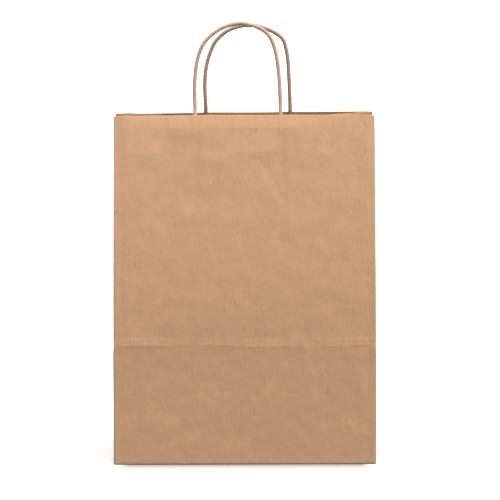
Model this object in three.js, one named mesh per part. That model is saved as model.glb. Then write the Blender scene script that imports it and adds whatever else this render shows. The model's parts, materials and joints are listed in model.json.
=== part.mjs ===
// Gift bag: a kraft paper carrier bag with tucked side gussets, a folded block bottom and two
// handles of twisted paper cord, each glued between two paper patches inside the mouth.
// Millimetres, +Z up. The bag stands on Z = 0 with its middle at the origin. The front faces -Y.
import * as THREE from 'three';

// Driving dimensions of the bag
const WIDTH = 240;            // across the front panel
const DEPTH = 110;            // of the block bottom, front to back
const HEIGHT = 318;           // base to top edge
const CREASE_HEIGHT = 107;    // fold line round the bag, above which the sides lean in
const CREASE_HALF_DEPTH = 53; // middle plane to the front panel at that fold line
const MOUTH_HALF_DEPTH = 23;  // middle plane to the front panel at the top edge
const LEAN_POWER = 1.7;       // how the lean grows with height: 1 is a flat panel
const GUSSET_DIP = 2;         // how far the gussets' middle folds end below the top edge

// Paper. Each wall is a stand-in thicker than real kraft paper, which is about 0.14 mm
const WALL = 0.5;
const LAYER = 0.4;            // hem, lap, flaps and patches
const GAP = 0.3;              // between layers that touch on the real bag
const HEM = 36;               // width of the turned-in top edge
const LAP = 16;               // width of the glued seam inside the back panel

// Block bottom
const FLAP_REACH = 65;        // how far the flaps reach in from the base's edges
const FLAP_INSET = 0.8;       // flaps' edges to the walls' outer faces

// Handles
const CORD_RADIUS = 1.8;
const CORD_SIDES = 8;
const CORD_BURIED = 31;       // how far the cord's ends go down between the patches
const CORD_BREAK = 2;         // room above and below the bend where a handle swings
const BEND_HEIGHT = 320.5;    // the handles bend just above the top edge
const PATCH_WIDTH = 128;
const PATCH_HEIGHT = 34;
const PATCH_DROP = 0.8;       // top edge of the bag to the patches' top
const RIDGE_TOP = 2.4;        // half width of the flat top of the inner patch's ridge on a cord
const RIDGE_FOOT = 6.5;       // half width of that ridge at its foot

// Depths of the layers' outer faces below the panel's outer face, at the mouth
const HEM_DEPTH = WALL + GAP;
const OUTER_PATCH_DEPTH = HEM_DEPTH + LAYER + GAP;
const CORD_DEPTH = OUTER_PATCH_DEPTH + LAYER + GAP + CORD_RADIUS;
const INNER_PATCH_DEPTH = OUTER_PATCH_DEPTH + LAYER + GAP;
const RIDGE_RISE = 2 * CORD_RADIUS + GAP;

// Each handle: the X of its two legs at the mouth, and its cord's route above the top edge from the
// left leg to the right, as X and height
const FRONT_HANDLE = {
  legs: [-44.8, 33.3],
  arch: [
    [-45.1, 25], [-44.3, 38], [-42.4, 49.7], [-39.5, 59.0], [-35.5, 66.2], [-30.4, 71.5],
    [-23.6, 76.6], [-15.4, 80.5], [-3.5, 82.8], [8.6, 80.7], [18.4, 75.9], [23.8, 70.3],
    [27.6, 61.5], [30.1, 50.5], [31.7, 37.7], [32.6, 25],
  ],
};
const BACK_HANDLE = {
  legs: [-35.6, 42.6],
  arch: [
    [-36.4, 23], [-35.6, 38], [-33.3, 49.0], [-30.1, 58.1], [-26.7, 64.8], [-21.7, 70.3],
    [-14.5, 75.5], [-2.5, 79.6], [9.5, 80.0], [18.9, 77.6], [27.3, 74.1], [33.2, 70.1],
    [37.0, 65.3], [39.1, 57.6], [40.5, 48.8], [41.3, 37.6], [42.0, 23],
  ],
};
const LEG_SPLAY = 0.4;        // a leg's buried end is this much further from the middle
const SETTLE = 1.1;           // a loop stands this much nearer the middle plane than its bend
const SETTLE_HEIGHT = 28;     // height over which it gets there

const KRAFT = { color: 0xc49a70, roughness: 0.85, metalness: 0 };
const KRAFT_INSIDE = { color: 0xb88a5f, roughness: 0.9, metalness: 0 };
const CORD_FRONT = { color: 0xc29a75, roughness: 0.9, metalness: 0 };
const CORD_BACK = { color: 0xa87f5c, roughness: 0.9, metalness: 0 };

const bag = new THREE.Group();

function add(name, geometry, look) {
  const mesh = new THREE.Mesh(geometry, new THREE.MeshStandardMaterial(look));
  mesh.name = name;
  bag.add(mesh);
}

// Middle plane to the outer face of the front or back panel, at height s.
function halfDepth(s) {
  if (s <= CREASE_HEIGHT) {
    return THREE.MathUtils.lerp(DEPTH / 2, CREASE_HALF_DEPTH, s / CREASE_HEIGHT);
  }
  const u = (s - CREASE_HEIGHT) / (HEIGHT - CREASE_HEIGHT);
  return CREASE_HALF_DEPTH - (CREASE_HALF_DEPTH - MOUTH_HALF_DEPTH) * u ** LEAN_POWER;
}

// How far a gusset's middle fold is tucked in: each half of it stays DEPTH / 2 wide.
function tuck(s) {
  return Math.sqrt((DEPTH / 2) ** 2 - halfDepth(s) ** 2);
}

// Lean of the front or back panel at height s, in radians.
function lean(s) {
  return Math.atan(halfDepth(s - 0.5) - halfDepth(s + 0.5));
}

// A point under the outer face of the front (side -1) or back (side 1) panel.
function panelPoint(side, x, s, depth) {
  const y = halfDepth(s) - depth * Math.cos(lean(s));
  return new THREE.Vector3(x, side * y, s - depth * Math.sin(lean(s)));
}

function steps(from, to, count) {
  return Array.from({ length: count + 1 }, (_, i) => from + ((to - from) * i) / count);
}

// A closed thin sheet. The rows hold points of its outer face: they run anticlockwise round the
// bag seen from above, and each row is above the one before it. Creases run away from the middle.
function sheet(rows, thickness) {
  const high = rows.length;
  const wide = rows[0].length;
  const clampRow = (r) => rows[THREE.MathUtils.clamp(r, 0, high - 1)];
  const clampPoint = (row, c) => row[THREE.MathUtils.clamp(c, 0, wide - 1)];
  const inner = rows.map((row, r) => row.map((point, c) => {
    const along = clampPoint(row, c + 1).clone().sub(clampPoint(row, c - 1));
    const up = clampRow(r + 1)[c].clone().sub(clampRow(r - 1)[c]);
    return point.clone().addScaledVector(along.cross(up).normalize(), -thickness);
  }));
  const outerAt = (r, c) => r * wide + c;
  const innerAt = (r, c) => high * wide + r * wide + c;
  const index = [];
  const quad = (a, b, c, d, turned) => {
    index.push(...(turned ? [a, b, d, b, c, d] : [a, b, c, a, c, d]));
  };
  for (let r = 0; r < high - 1; r++) {
    for (let c = 0; c < wide - 1; c++) {
      const turned = c < (wide - 1) / 2;
      quad(outerAt(r, c), outerAt(r, c + 1), outerAt(r + 1, c + 1), outerAt(r + 1, c), turned);
      quad(innerAt(r, c + 1), innerAt(r, c), innerAt(r + 1, c), innerAt(r + 1, c + 1), !turned);
    }
    quad(outerAt(r + 1, 0), innerAt(r + 1, 0), innerAt(r, 0), outerAt(r, 0), false);
    quad(outerAt(r, wide - 1), innerAt(r, wide - 1), innerAt(r + 1, wide - 1),
      outerAt(r + 1, wide - 1), false);
  }
  for (let c = 0; c < wide - 1; c++) {
    quad(outerAt(0, c), innerAt(0, c), innerAt(0, c + 1), outerAt(0, c + 1), false);
    quad(outerAt(high - 1, c + 1), innerAt(high - 1, c + 1), innerAt(high - 1, c),
      outerAt(high - 1, c), false);
  }
  const geometry = new THREE.BufferGeometry();
  geometry.setFromPoints([...rows.flat(), ...inner.flat()]);
  geometry.setIndex(index);
  geometry.computeVertexNormals();
  return geometry;
}

// Part of the front or back wall, or of a layer glued inside it. Heights and X values are lists.
function wallSheet(side, xs, heights, depth, thickness) {
  const across = side < 0 ? xs : [...xs].reverse();
  return sheet(heights.map((s) => across.map((x) => panelPoint(side, x, s, depth))), thickness);
}

// A flat layer of the block bottom, z above the floor: a polygon seen from above.
function bottomLayer(corners, z) {
  const outline = new THREE.Shape(corners.map(([x, y]) => new THREE.Vector2(x, y)));
  const geometry = new THREE.ExtrudeGeometry(outline, { depth: LAYER, bevelEnabled: false });
  return geometry.translate(0, 0, z);
}

// Front or back flap of the bottom: a trapezium whose slanted ends are the 45 degree folds.
function bottomFlap(side, level) {
  const edge = DEPTH / 2 - FLAP_INSET;
  const long = WIDTH / 2 - FLAP_INSET;
  const short = long - FLAP_REACH;
  const tip = edge - FLAP_REACH;
  const corners = [[-long, edge], [long, edge], [short, tip], [-short, tip]];
  return bottomLayer(corners.map(([x, y]) => [x, side * y]), level * (LAYER + GAP));
}

// Triangle of a bottom flap folded back on itself at a corner of the base.
function cornerFold(side, end, level) {
  const edge = DEPTH / 2 - FLAP_INSET;
  const long = WIDTH / 2 - FLAP_INSET;
  const short = long - FLAP_REACH;
  const corners = [[long, edge], [short, edge], [short, edge - FLAP_REACH]];
  return bottomLayer(corners.map(([x, y]) => [end * x, side * y]), level * (LAYER + GAP));
}

// End flap of the bottom: the gusset's own paper, turned in under the goods.
function endFlap(end, level) {
  const edge = DEPTH / 2 - FLAP_INSET;
  const long = WIDTH / 2 - FLAP_INSET;
  const short = long - FLAP_REACH;
  const corners = [[long, -edge], [long, edge], [short, edge], [short, -edge]];
  return bottomLayer(corners.map(([x, y]) => [end * x, y]), level * (LAYER + GAP));
}

// Gusset below the fold line: flat up to the tip of its triangle, then starting to tuck in.
function lowerGusset(end) {
  const tip = DEPTH / 2;
  const top = CREASE_HEIGHT - GAP / 2;
  const shy = WALL + GAP;
  const middle = [[0, WIDTH / 2], [tip, WIDTH / 2], [top, WIDTH / 2 - tuck(CREASE_HEIGHT)]];
  const rows = middle.map(([s, x]) => {
    const y = halfDepth(s) - shy;
    return [[WIDTH / 2, -y], [x, 0], [WIDTH / 2, y]].map(
      ([px, py]) => new THREE.Vector3(end * px, end * py, s),
    );
  });
  return sheet(rows, WALL);
}

// Half of a gusset above the fold line, from the bag's corner to the gusset's middle fold.
function upperGussetHalf(side, end) {
  const heights = steps(CREASE_HEIGHT + GAP / 2, HEIGHT, 8);
  const rows = heights.map((s) => {
    const u = (s - CREASE_HEIGHT) / (HEIGHT - CREASE_HEIGHT);
    const corner = [WIDTH / 2, halfDepth(s) - WALL - 1.5 * GAP - LAYER, s];
    const fold = [WIDTH / 2 - tuck(s), 0.75 * GAP, s - GUSSET_DIP * u];
    const row = [corner, fold].map(([x, y, z]) => new THREE.Vector3(end * x, side * y, z));
    return side * end < 0 ? row : row.reverse();
  });
  return sheet(rows, WALL);
}

// A cord along points, as a closed tube.
function cord(points, count) {
  const section = new THREE.Shape();
  for (let i = 0; i < CORD_SIDES; i++) {
    const a = (2 * Math.PI * i) / CORD_SIDES;
    const x = CORD_RADIUS * Math.cos(a);
    const y = CORD_RADIUS * Math.sin(a);
    if (i === 0) section.moveTo(x, y);
    else section.lineTo(x, y);
  }
  section.closePath();
  const path = new THREE.CatmullRomCurve3(points, false, 'centripetal');
  return new THREE.ExtrudeGeometry(section, { steps: count, extrudePath: path, curveSegments: 1 });
}

// The loop of a handle. Its legs lean on with the panel for a little, and then stand upright.
function handleLoop(side, { legs, arch }) {
  const foot = BEND_HEIGHT + CORD_BREAK - HEIGHT;
  const bend = MOUTH_HALF_DEPTH - CORD_DEPTH;
  const route = [[legs[0], foot], ...arch, [legs[1], foot]];
  const points = route.map(([x, rise]) => {
    const settled = Math.min(1, (rise - foot) / SETTLE_HEIGHT);
    return new THREE.Vector3(x, side * (bend - SETTLE * settled), HEIGHT + rise);
  });
  return cord(points, 56);
}

// One buried end of a handle's cord, straight down between the patches.
function cordEnd(side, x) {
  const splayed = x + Math.sign(x) * LEG_SPLAY;
  const top = BEND_HEIGHT - CORD_BREAK;
  const points = [
    panelPoint(side, splayed, HEIGHT - CORD_BURIED, CORD_DEPTH),
    panelPoint(side, x, top, CORD_DEPTH),
  ];
  return cord(points, 6);
}

// Outer patch, flat against the hem.
function outerPatch(side, centre) {
  const xs = [centre - PATCH_WIDTH / 2, centre + PATCH_WIDTH / 2];
  const heights = steps(HEIGHT - PATCH_DROP - PATCH_HEIGHT, HEIGHT - PATCH_DROP, 2);
  return wallSheet(side, xs, heights, OUTER_PATCH_DEPTH, LAYER);
}

// Inner patch: glued down between and beside the cords, and raised in a ridge over each.
function innerPatch(side, centre, legs) {
  const heights = steps(HEIGHT - PATCH_DROP - PATCH_HEIGHT, HEIGHT - PATCH_DROP, 2);
  const edges = [centre - PATCH_WIDTH / 2, centre + PATCH_WIDTH / 2];
  const ridge = (x) => [-RIDGE_FOOT, -RIDGE_TOP, RIDGE_TOP, RIDGE_FOOT].map((d) => x + d);
  const xs = [edges[0], ...legs.flatMap(ridge), edges[1]];
  const across = side < 0 ? xs : [...xs].reverse();
  const onCord = (x) => legs.some((leg) => Math.abs(x - leg) < RIDGE_TOP + 0.1);
  const depth = (x) => INNER_PATCH_DEPTH + (onCord(x) ? RIDGE_RISE : 0);
  return sheet(heights.map((s) => across.map((x) => panelPoint(side, x, s, depth(x)))), LAYER);
}

const EDGES = [-WIDTH / 2, WIDTH / 2];
const HEM_EDGES = [-WIDTH / 2 + 2.5, WIDTH / 2 - 2.5];
const LAP_EDGES = [-WIDTH / 2 + 2, -WIDTH / 2 + 2 + LAP];
const BELOW_CREASE = CREASE_HEIGHT - GAP / 2;
const ABOVE_CREASE = CREASE_HEIGHT + GAP / 2;
const SIDES = [['front', -1], ['back', 1]];
const ENDS = [['left', -1], ['right', 1]];

// Walls and bottom
for (const [name, side] of SIDES) {
  add(`${name}_panel_lower`, wallSheet(side, EDGES, [0, BELOW_CREASE], 0, WALL), KRAFT);
  add(`${name}_panel_upper`, wallSheet(side, EDGES, steps(ABOVE_CREASE, HEIGHT, 8), 0, WALL), KRAFT);
  const hemHeights = steps(HEIGHT - HEM, HEIGHT, 3);
  add(`${name}_top_hem`, wallSheet(side, HEM_EDGES, hemHeights, HEM_DEPTH, LAYER), KRAFT_INSIDE);
}
for (const [name, end] of ENDS) {
  add(`${name}_gusset_lower`, lowerGusset(end), KRAFT);
  for (const [fold, side] of SIDES) {
    add(`${name}_gusset_${fold}_fold`, upperGussetHalf(side, end), KRAFT);
  }
}
add('bottom_flap_front', bottomFlap(-1, 0), KRAFT);
add('bottom_flap_back', bottomFlap(1, 1), KRAFT);
for (const [name, end] of ENDS) {
  add(`bottom_corner_fold_front_${name}`, cornerFold(-1, end, 2), KRAFT_INSIDE);
  add(`bottom_corner_fold_back_${name}`, cornerFold(1, end, 3), KRAFT_INSIDE);
  add(`bottom_end_flap_${name}`, endFlap(end, 4), KRAFT_INSIDE);
}
const lowerLap = [5 * (LAYER + GAP), BELOW_CREASE];
const upperLap = steps(ABOVE_CREASE, HEIGHT - HEM - GAP, 7);
add('seam_lap_lower', wallSheet(1, LAP_EDGES, lowerLap, HEM_DEPTH, LAYER), KRAFT_INSIDE);
add('seam_lap_upper', wallSheet(1, LAP_EDGES, upperLap, HEM_DEPTH, LAYER), KRAFT_INSIDE);

// Handles
const HANDLES = [['front', -1, FRONT_HANDLE, CORD_FRONT], ['back', 1, BACK_HANDLE, CORD_BACK]];
for (const [name, side, handle, look] of HANDLES) {
  const centre = (handle.legs[0] + handle.legs[1]) / 2;
  add(`${name}_handle_outer_patch`, outerPatch(side, centre), KRAFT_INSIDE);
  add(`${name}_handle_inner_patch`, innerPatch(side, centre, handle.legs), KRAFT_INSIDE);
  add(`${name}_handle_cord`, handleLoop(side, handle), look);
  add(`${name}_handle_cord_left_end`, cordEnd(side, handle.legs[0]), look);
  add(`${name}_handle_cord_right_end`, cordEnd(side, handle.legs[1]), look);
}

export default bag;
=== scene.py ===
import json
import math

import bpy
import numpy as np
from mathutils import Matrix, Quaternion, Vector, noise

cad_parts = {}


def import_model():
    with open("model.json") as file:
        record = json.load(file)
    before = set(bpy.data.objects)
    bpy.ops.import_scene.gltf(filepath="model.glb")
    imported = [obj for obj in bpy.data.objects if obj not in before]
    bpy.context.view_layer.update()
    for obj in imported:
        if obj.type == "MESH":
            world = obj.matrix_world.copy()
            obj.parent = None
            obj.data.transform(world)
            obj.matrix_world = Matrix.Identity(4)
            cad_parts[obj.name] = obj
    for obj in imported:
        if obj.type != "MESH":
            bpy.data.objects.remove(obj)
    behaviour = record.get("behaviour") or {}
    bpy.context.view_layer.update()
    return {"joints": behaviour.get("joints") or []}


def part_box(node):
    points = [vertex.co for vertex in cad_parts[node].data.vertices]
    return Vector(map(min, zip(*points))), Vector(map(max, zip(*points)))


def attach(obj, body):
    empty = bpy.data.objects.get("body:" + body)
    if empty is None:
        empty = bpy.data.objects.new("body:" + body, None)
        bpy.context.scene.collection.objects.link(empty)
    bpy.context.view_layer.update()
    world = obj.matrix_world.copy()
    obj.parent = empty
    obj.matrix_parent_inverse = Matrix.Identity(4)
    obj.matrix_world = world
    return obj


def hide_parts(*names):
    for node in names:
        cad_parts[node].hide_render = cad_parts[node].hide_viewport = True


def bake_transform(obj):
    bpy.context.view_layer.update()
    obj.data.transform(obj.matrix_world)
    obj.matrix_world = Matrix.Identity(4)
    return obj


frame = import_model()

MM = 0.001


def corners(node):
    """Lowest and highest corner of a CAD node, in millimetres."""
    low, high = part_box(node)
    return np.array(low) / MM, np.array(high) / MM


JOINTS = {joint["name"]: joint for joint in frame["joints"]}


def joint_point(name):
    return np.array(JOINTS[name]["pos_m"]) / MM


# ---- sizes, from the frame
_, panel_high = corners("front_panel_upper")
base_low, _ = corners("front_panel_lower")
hem_low, _ = corners("front_top_hem")
HALF_WIDTH = panel_high[0]
HEIGHT = panel_high[2]
BASE_HALF_DEPTH = -base_low[1]
CREASE_HALF_DEPTH = -joint_point("mouth_front")[1]
CREASE_HEIGHT = joint_point("mouth_front")[2]
WALL = 0.5  # the CAD panels' thickness
MOUTH_HALF_DEPTH = WALL - panel_high[1]
LEAN_POWER = 1.7  # as the CAD panels' lean
GUSSET_DIP = 2.0  # as the CAD gussets' middle folds
BEND_HEIGHT = joint_point("front_handle_swing")[2]
BEND_HALF_DEPTH = -joint_point("front_handle_swing")[1]
HEM = HEIGHT - hem_low[2]

# ---- sizes of what Blender adds
PAPER = 0.3  # thickness of the paper shells
LAYER = 0.35  # step from one glued layer to the next
FOLD = 2.0  # reach of a rounded vertical fold on each side of its corner
BASE_FOLD = 0.5  # how much further it reaches at the floor
BASE_FOLD_HEIGHT = 10.0  # height where that has ended
BASE_ROUND = 1.5  # radius of the folds round the bottom
BOTTOM_LIP = (0.94, 0.86, 1.0)  # the walls' first row, under the bag, as shares of the next
TOP_ROUND = 0.42  # radius of the turned-in top edge
TOP_PINCH = 0.25  # how much of that is left round the vertical folds
GUSSET_ROUND = 0.9  # radius of the gussets' middle folds
ARC_STEPS = 7  # points round a vertical fold
TRIANGLE_TIP = BASE_HALF_DEPTH  # height of the flat triangle of the block bottom
FLOOR_REFLECTION = 0.9  # how strongly a grey reflection of the white floor is painted on the paper at the floor
FLOOR_REFLECTION_HEIGHT = 8.0  # height where that has ended
EDGE_REFLECTION = 0.6  # how strongly a grey reflection is painted on the vertical folds
RAW_INSET = 0.5  # the back wall's raw edge at the seam, in from the corner

FRONT = -1
BACK = 1
LEFT = -1
RIGHT = 1
SIDE_NAMES = {FRONT: "front", BACK: "back"}
END_NAMES = {LEFT: "left", RIGHT: "right"}
WALL_SEEDS = {FRONT: 3.0, BACK: 11.0}
# Where the pieces lie across the flat sheet, which with their seeds sets their paper's pattern
WALL_PLACE = {FRONT: 0.0, BACK: 400.0}
GUSSET_PLACE = {RIGHT: 200.0, LEFT: 400.0}
# How far the top edges hang below their plain height at the left corner, middle and right corner
EDGE_DROP = {FRONT: (0.8, 0.0, 0.4), BACK: (1.0, 0.1, -0.4)}
CORNER_DROP = 0.5  # how much more at the very corners
CORNER_DROP_REACH = 5.0  # how far in from them that starts


# ---- small helpers
def smooth(t):
    t = np.clip(t, 0, 1)
    return t * t * (3 - 2 * t)


def ramp(value, start, end):
    """0 before start and 1 after end, smoothly."""
    return smooth((np.asarray(value, float) - start) / (end - start))


def past(value, line, blur=2.0):
    """0 well before a line and 1 well past it, smoothly."""
    return ramp(value, line - blur, line + blur)


def bump(value, centre, width):
    return np.exp(-(((value - centre) / width) ** 2))


def rolling(a, b, seed, size):
    """Smooth noise of two coordinates, about -1 to 1, with bumps of the given size."""
    a, b = np.broadcast_arrays(np.asarray(a, float), np.asarray(b, float))
    flat = [
        noise.fractal(Vector((x / size, y / size, seed)), 0.6, 2.0, 2)
        for x, y in zip(a.ravel(), b.ravel())
    ]
    return np.array(flat).reshape(a.shape)


def half_depth(s):
    """Middle plane to the outer face of the front or back panel at height s."""
    s = np.asarray(s, float)
    low = BASE_HALF_DEPTH + (CREASE_HALF_DEPTH - BASE_HALF_DEPTH) * s / CREASE_HEIGHT
    u = np.clip((s - CREASE_HEIGHT) / (HEIGHT - CREASE_HEIGHT), 0, None)
    high = CREASE_HALF_DEPTH - (CREASE_HALF_DEPTH - MOUTH_HALF_DEPTH) * u**LEAN_POWER
    return np.where(s <= CREASE_HEIGHT, low, high)


def lean(s):
    return np.arctan(half_depth(s - 0.5) - half_depth(s + 0.5))


def tuck(s):
    """How far a gusset's middle fold is tucked in above the crease."""
    half = half_depth(np.maximum(s, CREASE_HEIGHT))
    return np.sqrt(np.maximum(BASE_HALF_DEPTH**2 - half**2, 0))


def panel_point(side, x, s, depth):
    """A point under the outer face of the front or back panel, as three arrays."""
    x, s, depth = np.broadcast_arrays(x, s, depth)
    angle = lean(s)
    y = side * (half_depth(s) - depth * np.cos(angle))
    return np.stack([x, y, s - depth * np.sin(angle)], axis=-1)


def edge_drop(side, x, s):
    """How far the uneven top edge pulls a point down: all of it at the top, none at the crease."""
    left, middle, right = EDGE_DROP[side]
    across = np.clip(x / HALF_WIDTH, -1, 1)
    drop = middle + (right - left) / 2 * across + ((left + right) / 2 - middle) * across**2
    drop = drop + CORNER_DROP * ramp(np.abs(x), HALF_WIDTH - CORNER_DROP_REACH, HALF_WIDTH)
    return drop * np.clip((s - CREASE_HEIGHT) / (HEIGHT - CREASE_HEIGHT), 0, 1) ** 3


# ---- meshes
SHARP_ANGLE = math.radians(55)  # between two faces, from where their edge is shaded sharp


def new_object(name, data):
    obj = bpy.data.objects.new(name, data)
    bpy.context.scene.collection.objects.link(obj)
    return obj


def unit(v):
    return v / np.maximum(np.linalg.norm(v, axis=-1, keepdims=True), 1e-9)


def normals_of(grid):
    """Outward normals of a grid of points."""
    return unit(np.cross(np.gradient(grid, axis=1), np.gradient(grid, axis=0)))


def make_object(name, points, faces, face_materials, materials, attributes):
    mesh = bpy.data.meshes.new(name)
    mesh.from_pydata((points * MM).tolist(), [], faces)
    for material in materials:
        mesh.materials.append(material)
    mesh.polygons.foreach_set("material_index", face_materials)
    mesh.polygons.foreach_set("use_smooth", [True] * len(faces))
    for key, values in attributes.items():
        kind = "FLOAT_VECTOR" if values.ndim == 2 else "FLOAT"
        field = "vector" if values.ndim == 2 else "value"
        layer = mesh.attributes.new(key, kind, "POINT")
        layer.data.foreach_set(field, values.astype(np.float32).ravel())
    mesh.set_sharp_from_angle(angle=SHARP_ANGLE)
    mesh.update()
    mesh.validate()
    return new_object(name, mesh)


def raised(plan, s):
    """Rows of plan points at their heights, as a grid of points."""
    heights = np.broadcast_to(s[:, None, None], plan.shape[:2] + (1,))
    return np.concatenate([plan, heights], axis=-1)


def with_bottom_lip(grid):
    """A wall's grid with a first row that runs in under the bag."""
    return np.concatenate([grid[:1] * np.array(BOTTOM_LIP), grid])


def row_distance(grid):
    """How far each row is from the first one, along the paper."""
    steps = np.diff(grid, axis=0, prepend=grid[:1])
    return np.cumsum(np.linalg.norm(steps, axis=-1).mean(axis=1))


def flat_place(shape, across, up, seed):
    """Each point's place on the flat sheet of paper."""
    place = np.zeros(shape)
    place[..., 0], place[..., 1], place[..., 2] = across, up, seed
    return place


def wall_place(grid, seed):
    """The same for a layer that stands upright in the bag."""
    return flat_place(grid.shape, grid[..., 0], grid[..., 2], seed)


def paper_sheet(name, grid, place, materials, wear_and_highlight=0.0, painted_reflection=0.0):
    """A closed thin shell: grid is its outer face, and its inner face lies one thickness below.
    place is where its points are on the flat sheet, which the paper's pattern follows."""
    high, wide = grid.shape[:2]
    inner = grid - normals_of(grid) * PAPER
    points = np.concatenate([grid.reshape(-1, 3), inner.reshape(-1, 3)])
    count = high * wide
    number = np.arange(count).reshape(high, wide)
    a, b, c, d = number[:-1, :-1], number[:-1, 1:], number[1:, 1:], number[1:, :-1]
    outer_faces = np.stack([a, b, c, d], -1).reshape(-1, 4)
    inner_faces = outer_faces[:, ::-1] + count
    rims = [
        np.stack([line[:-1] + count, line[1:] + count, line[1:], line[:-1]], -1)
        for line in (number[0], number[:, -1], number[-1, ::-1], number[::-1, 0])
    ]
    faces = np.concatenate([outer_faces, inner_faces, *rims])
    kinds = [0] * len(outer_faces) + [1] * (len(faces) - len(outer_faces))
    pale_wear_and_highlight = np.zeros((high, wide)) + wear_and_highlight
    # Painted grey reflection of the white floor on the paper at the floor, and on the vertical
    # folds
    reflected = np.maximum(FLOOR_REFLECTION * ramp(-grid[..., 2], -FLOOR_REFLECTION_HEIGHT, 0), painted_reflection)
    attributes = {
        "paper": np.tile(place.reshape(-1, 3), (2, 1)),
        "wear_and_highlight": np.tile(pale_wear_and_highlight.ravel(), 2),
        "painted_reflection": np.tile(reflected.ravel(), 2),
    }
    return make_object(name, points, faces.tolist(), kinds, materials, attributes)


# ---- materials
class Nodes:
    """Short names for the shader nodes of one material or world."""

    def __init__(self, owner, shader="Principled BSDF"):
        owner.use_nodes = True
        self.owner = owner
        self.tree = owner.node_tree
        self.shader = self.tree.nodes[shader]

    def add(self, kind, output, inputs, **settings):
        """Adds a node, links or sets its inputs, and gives one output."""
        node = self.tree.nodes.new(kind)
        for key, value in settings.items():
            setattr(node, key, value)
        for key, value in inputs.items():
            if isinstance(value, bpy.types.NodeSocket):
                self.link(value, node.inputs[key])
            else:
                node.inputs[key].default_value = value
        return node.outputs[output]

    def link(self, source, target):
        self.tree.links.new(source, target)

    def attribute(self, name, output="Fac"):
        return self.add("ShaderNodeAttribute", output, {}, attribute_name=name)

    def vector(self, operation, *inputs, output="Vector"):
        return self.add("ShaderNodeVectorMath", output, dict(enumerate(inputs)),
                        operation=operation)

    def noise(self, vector, scale, detail=2.0, roughness=0.5):
        """Smooth noise from 0 to 1 with so many cells a millimetre in each direction."""
        return self.add("ShaderNodeTexNoise", "Fac", {
            "Vector": self.vector("MULTIPLY", vector, scale), "Scale": 1.0, "Detail": detail,
            "Roughness": roughness,
        })

    def level(self, value, low, high, out_low=0.0, out_high=1.0):
        """Stretches low to high of a value to out_low to out_high."""
        return self.add("ShaderNodeMapRange", "Result", {
            "Value": value, "From Min": low, "From Max": high, "To Min": out_low,
            "To Max": out_high,
        }, clamp=True)

    def times(self, a, b):
        return self.add("ShaderNodeMath", "Value", {0: a, 1: b}, operation="MULTIPLY")

    def mix(self, factor, a, b):
        return self.add("ShaderNodeMix", "Result", {"Factor": factor, "A": a, "B": b},
                        data_type="RGBA")

    def bump(self, height, distance, strength, below=None):
        """Bump of so many millimetres, on top of the one below."""
        inputs = {"Height": height, "Distance": distance * MM, "Strength": strength}
        if below is not None:
            inputs["Normal"] = below
        return self.add("ShaderNodeBump", "Normal", inputs)


def tinted(colour, red, green=None, blue=None):
    """A colour times one factor, or times one for each channel."""
    factors = (red, red if green is None else green, red if blue is None else blue)
    return tuple(min(1.0, c * f) for c, f in zip(colour, factors)) + (1.0,)


FLECK_SLANT = 0.75  # turn of the slanted flecks, in radians
WEAR_AND_HIGHLIGHT_TINT = (1.28,)  # paper colour where it is rubbed through to pale fibres, and where a highlight is painted
REFLECTION_TINT = (0.88, 1.05, 1.37)  # and where a grey reflection is painted on it


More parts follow.
